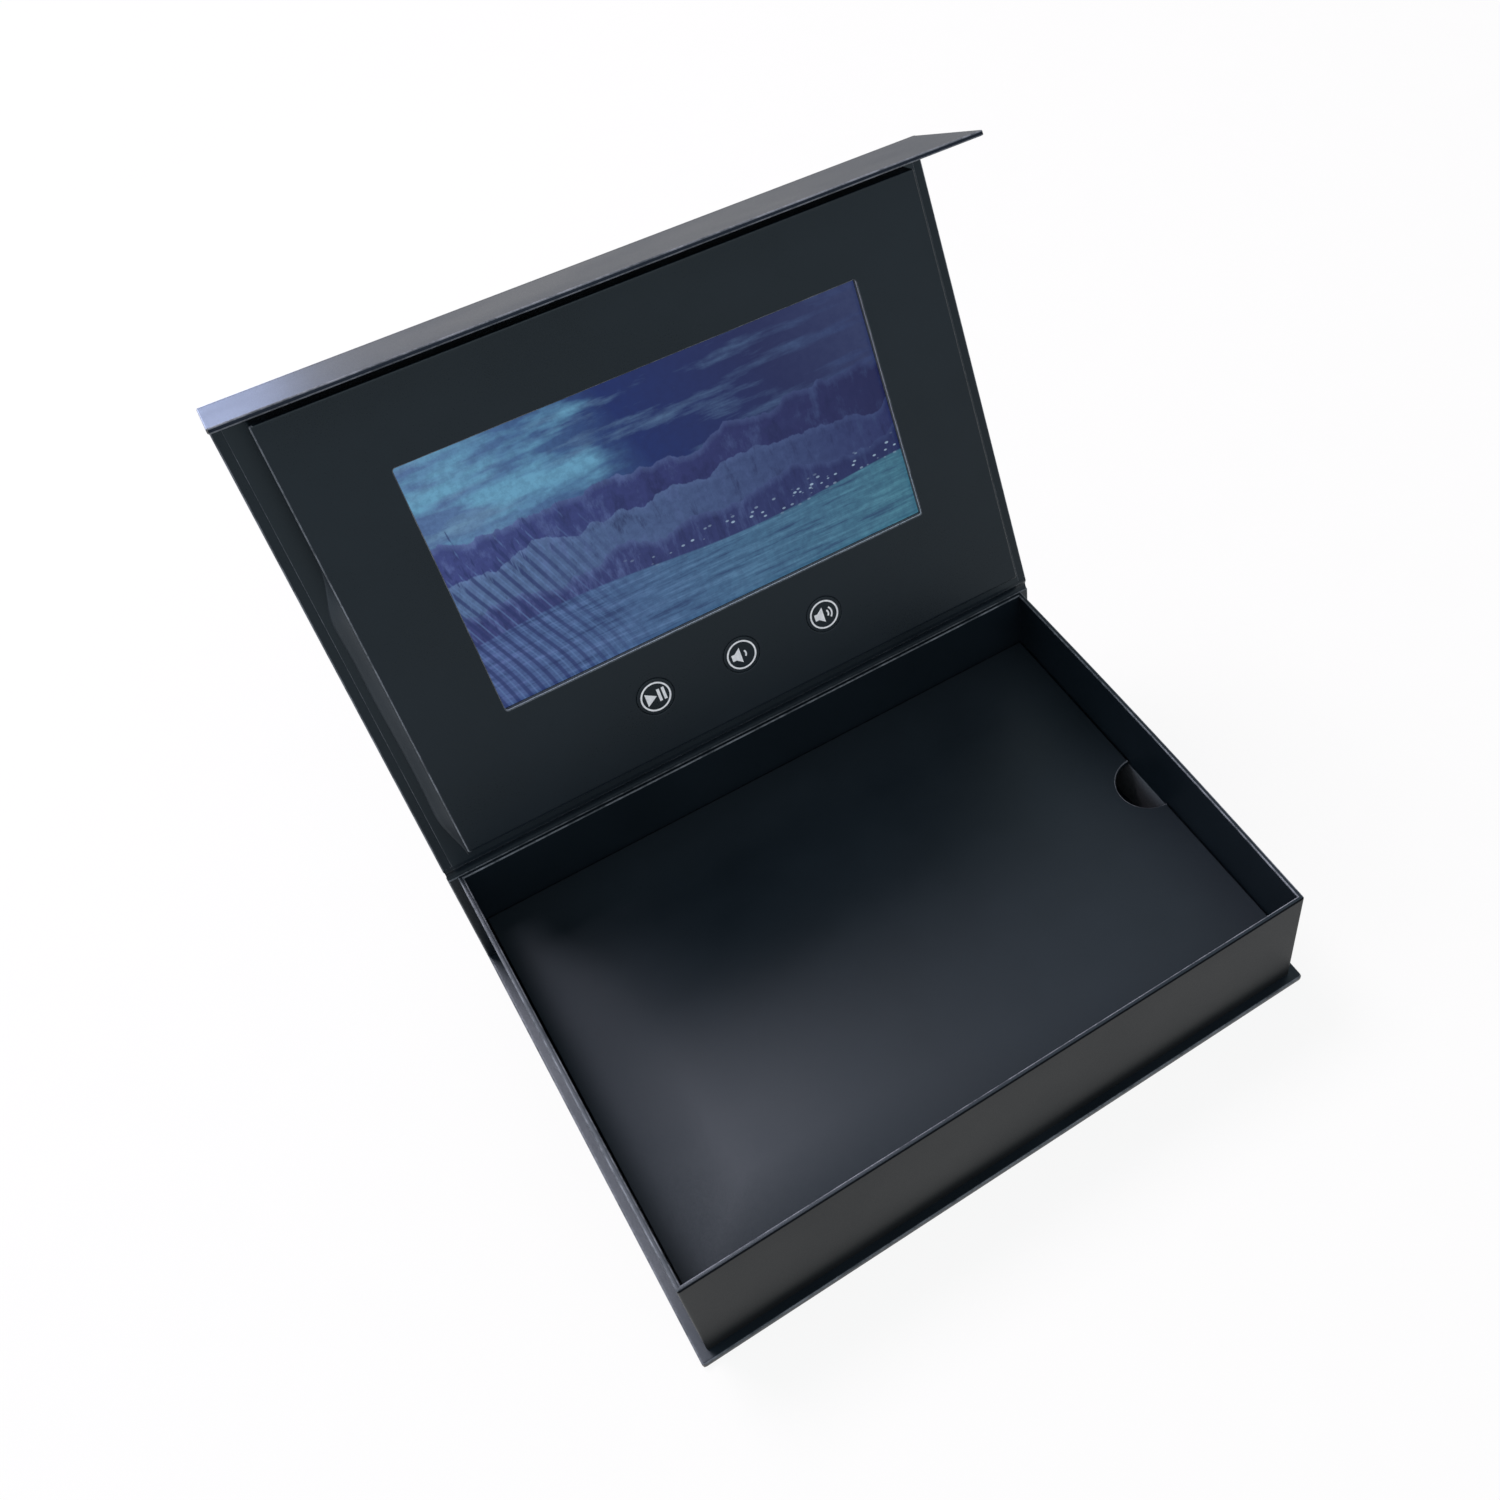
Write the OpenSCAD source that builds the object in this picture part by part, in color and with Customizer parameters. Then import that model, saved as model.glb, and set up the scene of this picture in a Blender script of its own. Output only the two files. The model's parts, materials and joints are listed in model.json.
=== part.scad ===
// Screen brochure box: hinged gift box with a video panel in the lid.
// Millimetres, +Z up, +X right, front towards -Y.
// Origin: centre of the tray's footprint on the table.

/* [Board and paper] */
// Bare greyboard thickness of the base, spine, lid and panel face
board_t = 2; // [1.75:0.05:2.25]
// Bare greyboard thickness of the tray walls and the flap
thin_board_t = 1.2; // [1.1:0.05:1.5]
// Covering paper thickness
paper_t = 0.25; // [0.2:0.05:0.3]

/* [Tray] */
// Outside width of the tray walls
tray_w = 226; // [224:1:244]
// Outside depth of the tray walls, front to back
tray_d = 166; // [164:1:190]
// Height of the tray walls above the base board
wall_h = 49; // [44:1:60]
// How far the base, spine and lid boards stand out past the tray
overhang = 3.25; // [2:0.25:5]
// Height of the raised floor above the table
floor_h = 26; // [20:1:29]
// Gap between the raised floor and the tray walls
platform_gap = 0.4; // [0.2:0.1:1]
// Radius of the thumb notch in the raised floor
notch_r = 11.5; // [9:0.5:13]
// Position of the thumb notch along the right wall
notch_y = -2; // [-20:1:20]

/* [Lid and flap] */
// Rest opening of the lid, from closed
lid_angle = 110.5; // [90:0.5:130]
// Rest fold of the front flap, 90 being its closed fold
fold_angle = 82; // [60:1:90]
// Distance from each crease axis to the outer paper
crease_inset = 0.7; // [0.6:0.05:0.8]
// Distance from each crease axis to the board it turns
crease_space = 1.1; // [1:0.05:1.3]
// Gap between the closed flap and the tray's front wall
flap_gap = 1.2; // [0.8:0.1:1.6]
// Gap between the closed lid and the tray's rim
lid_seat = 0.1; // [0.1:0.05:0.5]

/* [Screen panel] */
// Thickness of the panel that stands on the lid's inside
panel_t = 13.5; // [13.4:0.1:15]
// Gap from the closed panel to the tray's side walls
panel_gap = 4.8; // [3:0.1:5.3]
// Gap from the closed panel to the tray's front wall
panel_front_gap = 1.1; // [1.1:0.1:4]
// Distance from the crease axis to the panel's lower edge
panel_start = 12.5; // [8:0.5:14]
// Width of the screen window
screen_w = 154.2; // [150:0.1:155]
// Height of the screen window
screen_h = 85.9; // [82:0.1:87]
// Distance from the panel's lower edge to the window
screen_rise = 40.2; // [40:0.1:42]

/* [Buttons] */
// Diameter of each press button
button_d = 13; // [12:0.5:13]
// Spacing of the three buttons
button_pitch = 32; // [28:1:34]
// Distance from the panel's lower edge to the button centres
button_rise = 21.5; // [20:0.5:22]
// Travel of each button
button_travel = 0.4; // [0.2:0.1:0.5]
// Clearance around each button
button_gap = 0.15; // [0.1:0.05:0.3]

/* [Hidden] */
$fn = 64;
shell_t = board_t + 2 * paper_t;
spine_t = board_t + paper_t;
thin_t = thin_board_t + 2 * paper_t;
rim_z = shell_t + wall_h;
shell_half_w = tray_w / 2 + overhang;
front_y = -tray_d / 2;
back_y = tray_d / 2;
spine_y = back_y + spine_t;

// Crease axis of the lid, and the lid's own frame: x as the row,
// y away from the crease, z from the outer paper to the inside
axis_y = spine_y - crease_inset;
axis_z = rim_z + lid_seat + shell_t - crease_inset;
lid_short = 0.4;
fold_s = axis_y - front_y + flap_gap + thin_t - crease_inset;
lid_end = fold_s + crease_inset - shell_t - lid_short;
flap_lift = 1;
flap_end = axis_z - shell_t - flap_lift;
crease_r = crease_inset + 0.05;
crease_end = 0.3;

panel_w = tray_w - 2 * thin_t - 2 * panel_gap;
panel_end = axis_y - front_y - thin_t - panel_front_gap;
lid_t = shell_t + panel_t;
face_in = lid_t - paper_t - board_t;
screen_y = panel_start + screen_rise;
button_y = panel_start + button_rise;

// Magnets of the flap closure and of the opening sensor
magnet_d = 12;
magnet_t = 1;
magnet_x = 62;
magnet_z = 28;
pocket_gap = 0.1;
sensor_d = 6;
sensor_z = rim_z - 6;

// Raised floor
platform_w = tray_w - 2 * thin_t - 2 * platform_gap;
platform_d = tray_d - 2 * thin_t - 2 * platform_gap;
platform_seat = 0.1;
leg_bottom = shell_t + platform_seat;
leg_top = floor_h - paper_t - board_t;
leg_inset = 1.5;
notch_leg_inset = notch_r + 5;

// Display module, 7 inch wide, with its borders round the window
lcd_side = 5.35;
lcd_below = 8.2;
lcd_above = 4.9;
lcd_deep = 5.7;
lcd_size = [screen_w + 2 * lcd_side, screen_h + lcd_below + lcd_above, lcd_deep];
steel_t = 0.3;
lcd_window_gap = 1.1;
glass_t = 1.4;
lcd_y = screen_y - lcd_below;
lcd_back = face_in - lcd_size[2];
pocket_clear = 0.5;

// Main board behind the display, reaching the panel's right side
main_x = 20.2;
main_edge = 2.3;
main_l = 50;
main_t = 1;
main_size = [panel_w / 2 - main_edge - main_x, main_l, main_t];
main_rise = 18;
main_y = lcd_y + main_rise;
pad_t = 1;
pad_l = 8;
pad_inset = 4;
pad_pitch = 19;
pad_start = 2;
main_z = shell_t + pad_t;
parts_z = main_z + main_size[2];
connector_gap = 0.75;
connector_top = lcd_back - connector_gap;
flex_t = 0.3;
flex_top = connector_top + flex_t;
flex_w = 26;
flex_at = 17;
flex_x = main_x + flex_at;
flex_root = 1.25;
bend_out = (face_in - flex_root - connector_top) / 2;

// Parts on the main board: place along x and y, width, length, height
power_side = main_size[0] - 18;
processor = [34, 24, 14, 14, 1.2];
memory = [14, 26, 12, 18, 1.1];
clock_crystal = [34, 40, 5, 3.2, 1.1];
charger = [power_side, 12, 5, 4, 1.2];
amplifier = [power_side + 2, 24, 4, 5, 1.4];
power_coil = [power_side, 36, 6, 6, 2.6];
display_plug = [flex_at, 2.5, flex_w + 2, 4];
battery_plug = [6, 46, 8, 6];
small_plug_w = 8;
small_plug_l = 4.5;
plug_y = 2.5;

// Charging socket
usb_w = 7.4;
usb_h = 2.6;
usb_l = 6;
usb_rise = 18;
usb_y = main_y + usb_rise;
usb_wall = 0.3;
usb_back = 1;
usb_recess = 0.2;
usb_slot_gap = 0.3;
tongue_w = 3.6;
tongue_t = 0.6;
tongue_z = 1.2;

// Opening sensor
reed_d = 2.2;
reed_l = 14;
reed_inset = 6;
reed_rise = 38;
reed_x = panel_w / 2 - reed_inset;
reed_y = main_y + reed_rise;

// Battery behind the display, as long as the display less its margins
battery_below = 8;
battery_above = 7;
battery_w = 60;
battery_t = 4.5;
battery_size = [battery_w, lcd_size[1] - battery_below - battery_above, battery_t];
battery_x = -75;
battery_y = lcd_y + battery_below;
tape_t = 0.3;
tape_w = 15;
tape_inset = 8;
tape_end = 5;
battery_z = shell_t + tape_t;
circuit_size = [54, 4, 2];
circuit_z = 1.2;
wire_d = 1;
wire_pitch = 2;
wire_bend = 3;
lead_rise = 1;

// Buttons' board and switches
strip_x = -44;
strip_end = 1;
strip_l = 12.8;
strip_t = 1;
switch_w = 6;
switch_h = 3.5;
switch_gap = 1.65;
switch_floor = 1;
strip_z = face_in - switch_gap - switch_h - strip_t;
stem_d = 3.4;
stem_bore_gap = 0.1;
stem_l = 2.75;
print_t = 0.14;
print_proud = 0.04;
ring_d = 10.6;
ring_line = 0.6;
button_ribbon_at = 33.8;
button_ribbon_x = main_x + button_ribbon_at;
button_ribbon_w = 7;
button_tail = 2;
strip_size = [button_ribbon_x + button_ribbon_w + strip_end - strip_x, strip_l, strip_t];

// Speaker
speaker_size = [34, 22, 1.5];
speaker_inset = 22.5;
speaker_rise = 17;
speaker_x = panel_w / 2 - speaker_inset;
speaker_y = panel_start + speaker_rise;
basket_d = 20;
basket_h = 2.5;
cone_d = 18.6;
cone_gap = 0.2;
cone_t = 0.5;
speaker_magnet_d = 16;
speaker_magnet_t = 2.5;
speaker_back = face_in - speaker_size[2] - basket_h - speaker_magnet_t;
lead_inset = 6;
speaker_lead_x = speaker_x - lead_inset;

black_paper = [0.13, 0.14, 0.16];
inner_paper = [0.2, 0.21, 0.24];
greyboard = [0.55, 0.52, 0.48];
steel = [0.7, 0.71, 0.73];
nickel = [0.78, 0.77, 0.74];
circuit_green = [0.08, 0.28, 0.16];
white_ink = [0.92, 0.92, 0.93];
amber = [0.75, 0.5, 0.15];
black_plastic = [0.06, 0.06, 0.07];

// A block between two opposite corners
module block(low, high) {
  translate(low)
    cube(high - low);
}

// Turns the lid's own frame into the row's frame at rest
module lid_place() {
  translate([0, axis_y, axis_z])
    rotate([180 - lid_angle, 0, 0])
      translate([0, 0, -crease_inset])
        children();
}

// Turns the flap's own frame into the row's frame at rest
module flap_place() {
  lid_place()
    translate([0, fold_s, crease_inset])
      rotate([fold_angle, 0, 0])
        translate([0, 0, -crease_inset])
          children();
}

// A board's core, between its two papers
module shell_core(y0, y1, t = shell_t) {
  block([-shell_half_w + paper_t, y0 + paper_t, paper_t],
        [shell_half_w - paper_t, y1 - paper_t, t - paper_t]);
}

// Outer paper: one face and the four edges
module shell_wrap(y0, y1, t = shell_t) {
  difference() {
    block([-shell_half_w, y0, 0], [shell_half_w, y1, t]);
    block([-shell_half_w + paper_t, y0 + paper_t, paper_t],
          [shell_half_w - paper_t, y1 - paper_t, t + 1]);
  }
}

// Inner paper, inside the turned edges
module shell_lining(y0, y1, t = shell_t) {
  block([-shell_half_w + paper_t, y0 + paper_t, t - paper_t],
        [shell_half_w - paper_t, y1 - paper_t, t]);
}

// Round bead on a crease axis along x
module crease_bead() {
  rotate([0, 90, 0])
    cylinder(r = crease_r, h = 2 * (shell_half_w - crease_end), center = true);
}

module base_board() {
  color(greyboard)
    shell_core(front_y - overhang, spine_y);
}

module base_wrap() {
  color(black_paper)
    shell_wrap(front_y - overhang, spine_y);
}

module base_lining() {
  color(inner_paper)
    shell_lining(front_y - overhang, spine_y);
}

module spine_board() {
  color(greyboard)
    block([-shell_half_w + paper_t, back_y, shell_t],
          [shell_half_w - paper_t, back_y + board_t, rim_z - paper_t]);
}

// Paper over the spine, turned in at both ends past the tray's walls
module spine_wrap() {
  color(black_paper)
    union() {
      difference() {
        block([-shell_half_w, back_y, shell_t], [shell_half_w, spine_y, rim_z]);
        block([-shell_half_w + paper_t, back_y - 1, shell_t - 1],
              [shell_half_w - paper_t, back_y + board_t, rim_z - paper_t]);
      }
      for (side = [-1, 1])
        translate([side * (tray_w / 2 + overhang / 2), back_y - paper_t / 2, shell_t + wall_h / 2])
          cube([overhang, paper_t, wall_h], center = true);
    }
}

// Paper that carries the lid: a strip up from the spine and a round crease
module lid_crease() {
  strip_y = spine_y - 0.05;
  color(black_paper)
    union() {
      block([-shell_half_w + crease_end, strip_y - paper_t, rim_z],
            [shell_half_w - crease_end, strip_y, axis_z]);
      translate([0, axis_y, axis_z])
        crease_bead();
    }
}

// Core of a long tray wall, running the full width
module long_wall(y0) {
  block([-tray_w / 2 + paper_t, y0, shell_t],
        [tray_w / 2 - paper_t, y0 + thin_board_t, rim_z - paper_t]);
}

// Core of a side tray wall, held between the long walls
module side_wall(x0) {
  block([x0, front_y + paper_t + thin_board_t, shell_t],
        [x0 + thin_board_t, back_y - paper_t - thin_board_t, rim_z - paper_t]);
}

module tray_front_wall() {
  color(greyboard)
    difference() {
      long_wall(front_y + paper_t);
      for (x = [-magnet_x, magnet_x])
        translate([x, front_y + paper_t - 1, magnet_z])
          rotate([-90, 0, 0])
            cylinder(d = magnet_d + 2 * pocket_gap, h = magnet_t + 1);
    }
}

module tray_back_wall() {
  color(greyboard)
    long_wall(back_y - paper_t - thin_board_t);
}

module tray_left_wall() {
  color(greyboard)
    side_wall(-tray_w / 2 + paper_t);
}

module tray_right_wall() {
  color(greyboard)
    difference() {
      side_wall(tray_w / 2 - paper_t - thin_board_t);
      translate([tray_w / 2 - paper_t - magnet_t, axis_y - reed_y, sensor_z])
        rotate([0, 90, 0])
          cylinder(d = sensor_d + 2 * pocket_gap, h = magnet_t + 1);
    }
}

// Paper over the outside, rim and inside of the four walls
module tray_wrap() {
  in_w = tray_w / 2 - thin_t;
  in_d = tray_d / 2 - thin_t;
  core_w = tray_w / 2 - paper_t;
  core_d = tray_d / 2 - paper_t;
  color(inner_paper)
    difference() {
      block([-tray_w / 2, -tray_d / 2, shell_t], [tray_w / 2, tray_d / 2, rim_z]);
      block([-in_w, -in_d, shell_t - 1], [in_w, in_d, rim_z + 1]);
      difference() {
        block([-core_w, -core_d, shell_t - 1], [core_w, core_d, rim_z - paper_t]);
        block([-in_w - paper_t, -in_d - paper_t, shell_t - 2],
              [in_w + paper_t, in_d + paper_t, rim_z]);
      }
    }
}

module tray_magnets() {
  color(nickel)
    for (x = [-magnet_x, magnet_x])
      translate([x, front_y + paper_t, magnet_z])
        rotate([-90, 0, 0])
          cylinder(d = magnet_d, h = magnet_t);
}

module sensor_magnet() {
  color(nickel)
    translate([tray_w / 2 - paper_t - magnet_t, axis_y - reed_y, sensor_z])
      rotate([0, 90, 0])
        cylinder(d = sensor_d, h = magnet_t);
}

// Thumb notch through the raised floor, open to its right edge
module notch_cut(r) {
  translate([platform_w / 2, notch_y, leg_top - 1])
    cylinder(r = r, h = floor_h - leg_top + 2, $fn = 96);
}

module platform_board() {
  half_w = platform_w / 2 - paper_t;
  half_d = platform_d / 2 - paper_t;
  color(greyboard)
    difference() {
      block([-half_w, -half_d, leg_top], [half_w, half_d, floor_h - paper_t]);
      notch_cut(notch_r + paper_t);
    }
}

// Paper over the raised floor, its edges and the edge of the notch
module platform_wrap() {
  half_w = platform_w / 2;
  half_d = platform_d / 2;
  color(inner_paper)
    difference() {
      block([-half_w, -half_d, leg_top], [half_w, half_d, floor_h]);
      difference() {
        block([-half_w + paper_t, -half_d + paper_t, leg_top - 1],
              [half_w - paper_t, half_d - paper_t, floor_h - paper_t]);
        notch_cut(notch_r + paper_t);
      }
      notch_cut(notch_r);
    }
}

module platform_long_legs() {
  half_d = platform_d / 2 - leg_inset;
  half_w = platform_w / 2 - leg_inset;
  color(greyboard)
    for (side = [-1, 1])
      translate([0, side * (half_d - board_t / 2), (leg_bottom + leg_top) / 2])
        cube([2 * half_w, board_t, leg_top - leg_bottom], center = true);
}

module platform_short_legs() {
  half_d = platform_d / 2 - leg_inset - board_t;
  half_w = platform_w / 2;
  color(greyboard)
    for (x = [-half_w + leg_inset, half_w - notch_leg_inset - board_t])
      block([x, -half_d, leg_bottom], [x + board_t, half_d, leg_top]);
}

module lid_cover_board() {
  color(greyboard)
    lid_place()
      shell_core(crease_space, lid_end);
}

module lid_wrap() {
  color(black_paper)
    lid_place()
      shell_wrap(crease_space, lid_end);
}

module lid_lining() {
  color(inner_paper)
    lid_place()
      shell_lining(crease_space, lid_end);
}

// Paper that carries the flap: a strip past the lid's edge and a round crease
module flap_crease() {
  color(black_paper)
    lid_place()
      union() {
        block([-shell_half_w + crease_end, lid_end, 0.05],
              [shell_half_w - crease_end, fold_s, 0.05 + paper_t]);
        translate([0, fold_s, crease_inset])
          crease_bead();
      }
}

// Everything that sits in the spacer, cut with a little room
module spacer_pockets() {
  clear = pocket_clear;
  lcd_x = lcd_size[0] / 2 + clear;
  // display, and the room behind it
  block([-lcd_x, lcd_y - clear, shell_t - 1], [lcd_x, lcd_y + lcd_size[1] + clear, lid_t]);
  // main board's end past the display
  block([lcd_x - 1, main_y - 1, shell_t - 1],
        [main_x + main_size[0] + clear, main_y + main_size[1] + 1, lcd_back + 1]);
  // charging socket's mouth
  block([main_x + main_size[0], usb_y - usb_w / 2 - usb_slot_gap, parts_z - usb_slot_gap],
        [panel_w, usb_y + usb_w / 2 + usb_slot_gap, parts_z + usb_h + usb_slot_gap]);
  // buttons' board
  block([strip_x - clear, button_y - strip_size[1] / 2 - clear, strip_z],
        [strip_x + strip_size[0] + clear, button_y + strip_size[1] / 2 + clear, lid_t]);
  // display's ribbon bend
  block([flex_x - flex_w / 2 - 1, lcd_y - bend_out - 1, connector_top - 1],
        [flex_x + flex_w / 2 + 1, lcd_y, lid_t]);
  // buttons' ribbon
  block([button_ribbon_x - 1, button_y - button_tail - 1, strip_z - flex_t - clear],
        [button_ribbon_x + button_ribbon_w + 1, lcd_y, strip_z + 1]);
  // speaker and its leads
  block([speaker_x - speaker_size[0] / 2 - clear, speaker_y - speaker_size[1] / 2 - clear,
         speaker_back - clear],
        [speaker_x + speaker_size[0] / 2 + clear, speaker_y + speaker_size[1] / 2 + clear, lid_t]);
  block([speaker_lead_x - wire_pitch / 2 - wire_d, speaker_y, speaker_back - 2 * wire_d],
        [speaker_lead_x + wire_pitch / 2 + wire_d, main_y, speaker_back + 1]);
}

module panel_spacer() {
  half_w = panel_w / 2 - paper_t;
  color([0.16, 0.16, 0.17])
    lid_place()
      difference() {
        block([-half_w, panel_start + paper_t, shell_t], [half_w, panel_end - paper_t, face_in]);
        spacer_pockets();
      }
}

// Window and button holes through the panel's face
module face_cuts() {
  block([-screen_w / 2, screen_y, face_in - 1], [screen_w / 2, screen_y + screen_h, lid_t + 1]);
  for (i = [-1, 0, 1])
    translate([i * button_pitch, button_y, face_in - 1])
      cylinder(d = button_d + 2 * button_gap, h = lid_t - face_in + 2);
}

module face_board() {
  half_w = panel_w / 2 - paper_t;
  color(greyboard)
    lid_place()
      difference() {
        block([-half_w, panel_start + paper_t, face_in],
              [half_w, panel_end - paper_t, lid_t - paper_t]);
        face_cuts();
      }
}

// Paper over the panel's face and its four sides
module face_wrap() {
  half_w = panel_w / 2;
  color(black_paper)
    lid_place()
      difference() {
        block([-half_w, panel_start, shell_t], [half_w, panel_end, lid_t]);
        block([-half_w + paper_t, panel_start + paper_t, shell_t - 1],
              [half_w - paper_t, panel_end - paper_t, lid_t - paper_t]);
        face_cuts();
        block([half_w - 1, usb_y - usb_w / 2 - usb_slot_gap, parts_z - usb_slot_gap],
              [half_w + 1, usb_y + usb_w / 2 + usb_slot_gap, parts_z + usb_h + usb_slot_gap]);
      }
}

// Folded steel bezel around the display
module lcd_frame() {
  half_w = lcd_size[0] / 2;
  color(steel)
    lid_place()
      difference() {
        block([-half_w, lcd_y, lcd_back], [half_w, lcd_y + lcd_size[1], face_in]);
        block([-half_w + steel_t, lcd_y + steel_t, lcd_back - 1],
              [half_w - steel_t, lcd_y + lcd_size[1] - steel_t, face_in - steel_t]);
        block([-screen_w / 2 - lcd_window_gap, screen_y - lcd_window_gap, lcd_back],
              [screen_w / 2 + lcd_window_gap, screen_y + screen_h + lcd_window_gap, lid_t]);
      }
}

module lcd_glass() {
  half_w = lcd_size[0] / 2 - steel_t - 0.2;
  color([0.1, 0.3, 0.45])
    lid_place()
      block([-half_w, lcd_y + steel_t + 0.2, face_in - steel_t - glass_t],
            [half_w, lcd_y + lcd_size[1] - steel_t - 0.2, face_in - steel_t]);
}

// Light guide and its white holder
module backlight() {
  half_w = lcd_size[0] / 2 - steel_t - 0.1;
  color([0.93, 0.93, 0.9])
    lid_place()
      block([-half_w, lcd_y + steel_t + 0.1, lcd_back],
            [half_w, lcd_y + lcd_size[1] - steel_t - 0.1, face_in - steel_t - glass_t]);
}

// Flat cable folded from the display's lower edge to the main board
module lcd_ribbon() {
  bend_in = bend_out - flex_t;
  mid_z = connector_top + bend_out;
  color(amber)
    lid_place()
      translate([flex_x - flex_w / 2, lcd_y, 0])
        union() {
          translate([0, 0, mid_z])
            rotate([0, 90, 0])
              intersection() {
                difference() {
                  cylinder(r = bend_out, h = flex_w);
                  translate([0, 0, -1])
                    cylinder(r = bend_in, h = flex_w + 2);
                }
                translate([-bend_out - 1, -bend_out - 1, -1])
                  cube([2 * bend_out + 2, bend_out + 1, flex_w + 2]);
              }
          block([0, 0, connector_top], [flex_w, main_rise + display_plug[1] + 1, flex_top]);
        }
}

module main_board() {
  color(circuit_green)
    lid_place()
      block([main_x, main_y, main_z],
            [main_x + main_size[0], main_y + main_size[1], main_z + main_size[2]]);
}

// One packaged part standing on the main board
module chip(part) {
  translate([main_x + part[0] - part[2] / 2, main_y + part[1] - part[3] / 2, parts_z])
    cube([part[2], part[3], part[4]]);
}

// One plug, as tall as the cables' level above the board
module plug(place) {
  chip([place[0], place[1], place[2], place[3], connector_top - parts_z]);
}

module board_chips() {
  color(black_plastic)
    lid_place()
      union() {
        chip(processor);
        chip(memory);
        chip(charger);
        chip(amplifier);
        chip(power_coil);
        chip(clock_crystal);
      }
}

module board_connectors() {
  button_plug_x = button_ribbon_x + button_ribbon_w / 2 - main_x;
  color([0.88, 0.86, 0.8])
    lid_place()
      union() {
        plug(display_plug);
        plug([button_plug_x, plug_y, small_plug_w + 1, small_plug_l]);
        plug([speaker_lead_x - main_x, plug_y, small_plug_w, small_plug_l]);
        plug(battery_plug);
      }
}

module board_pads() {
  color([0.85, 0.85, 0.86])
    lid_place()
      for (i = [0:2])
        translate([main_x + pad_inset, main_y + pad_start + i * pad_pitch, shell_t])
          cube([main_size[0] - 2 * pad_inset, pad_l, pad_t]);
}

// Charging socket: a folded shell with a tongue
module usb_socket() {
  x1 = panel_w / 2 - usb_recess;
  x0 = x1 - usb_l;
  color(steel)
    lid_place()
      union() {
        difference() {
          block([x0, usb_y - usb_w / 2, parts_z], [x1, usb_y + usb_w / 2, parts_z + usb_h]);
          block([x0 + usb_back, usb_y - usb_w / 2 + usb_wall, parts_z + usb_wall],
                [x1 + 1, usb_y + usb_w / 2 - usb_wall, parts_z + usb_h - usb_wall]);
        }
        block([x0 + usb_back / 2, usb_y - tongue_w / 2, parts_z + tongue_z],
              [x1 - usb_back, usb_y + tongue_w / 2, parts_z + tongue_z + tongue_t]);
      }
}

// Glass sensor switch that wakes the screen when the lid opens
module reed_switch() {
  color([0.75, 0.8, 0.78])
    lid_place()
      translate([reed_x, reed_y - reed_l / 2, parts_z + reed_d / 2])
        rotate([-90, 0, 0])
          cylinder(d = reed_d, h = reed_l);
}

module battery() {
  color([0.72, 0.73, 0.75])
    lid_place()
      translate([battery_x, battery_y, battery_z])
        cube(battery_size);
}

// Protection circuit on the battery's end
module battery_circuit() {
  color(amber)
    lid_place()
      translate([battery_x + (battery_size[0] - circuit_size[0]) / 2,
                 battery_y + battery_size[1], battery_z + circuit_z])
        cube(circuit_size);
}

module battery_tape() {
  color([0.85, 0.85, 0.86])
    lid_place()
      for (x = [tape_inset, battery_w - tape_inset - tape_w])
        translate([battery_x + x, battery_y + tape_end, shell_t])
          cube([tape_w, battery_size[1] - 2 * tape_end, tape_t]);
}

// One lead: along x, round an elbow, then back towards the crease
module elbow_lead(x0, y, x1, y1, z) {
  r = wire_bend;
  translate([x0, y, z])
    rotate([0, 90, 0])
      cylinder(d = wire_d, h = x1 - r - x0);
  translate([x1 - r, y - r, z])
    rotate_extrude(angle = 90)
      translate([r, 0])
        circle(d = wire_d);
  translate([x1, y1, z])
    rotate([-90, 0, 0])
      cylinder(d = wire_d, h = y - r - y1);
}

module battery_leads() {
  x0 = battery_x + (battery_size[0] + circuit_size[0]) / 2;
  y0 = battery_y + battery_size[1] + lead_rise;
  x1 = main_x + battery_plug[0] - wire_pitch / 2;
  end_y = main_y + battery_plug[1] + battery_plug[3] / 2;
  z = battery_z + circuit_z + lead_rise;
  color([0.6, 0.1, 0.1])
    lid_place()
      union() {
        elbow_lead(x0, y0, x1, end_y, z);
        elbow_lead(x0, y0 + wire_pitch, x1 + wire_pitch, end_y, z);
      }
}

module speaker_frame() {
  color(black_plastic)
    lid_place()
      translate([speaker_x, speaker_y, 0])
        union() {
          difference() {
            translate([-speaker_size[0] / 2, -speaker_size[1] / 2, face_in - speaker_size[2]])
              cube(speaker_size);
            translate([0, 0, face_in - speaker_size[2] - 1])
              cylinder(d = cone_d + 2 * cone_gap, h = speaker_size[2] + 2);
          }
          translate([0, 0, face_in - speaker_size[2] - basket_h])
            cylinder(d = basket_d, h = basket_h);
        }
}

module speaker_cone() {
  color([0.25, 0.25, 0.27])
    lid_place()
      translate([speaker_x, speaker_y, face_in - speaker_size[2]])
        cylinder(d = cone_d, h = cone_t);
}

module speaker_magnet() {
  color(nickel)
    lid_place()
      translate([speaker_x, speaker_y, speaker_back])
        cylinder(d = speaker_magnet_d, h = speaker_magnet_t);
}

module speaker_leads() {
  end_y = main_y + plug_y - small_plug_l / 2;
  color([0.15, 0.15, 0.16])
    lid_place()
      for (x = [-wire_pitch / 2, wire_pitch / 2])
        translate([speaker_lead_x + x, speaker_y, speaker_back - wire_d / 2])
          rotate([-90, 0, 0])
            cylinder(d = wire_d, h = end_y - speaker_y);
}

module button_board() {
  color(circuit_green)
    lid_place()
      translate([strip_x, button_y - strip_size[1] / 2, strip_z])
        cube(strip_size);
}

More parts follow.
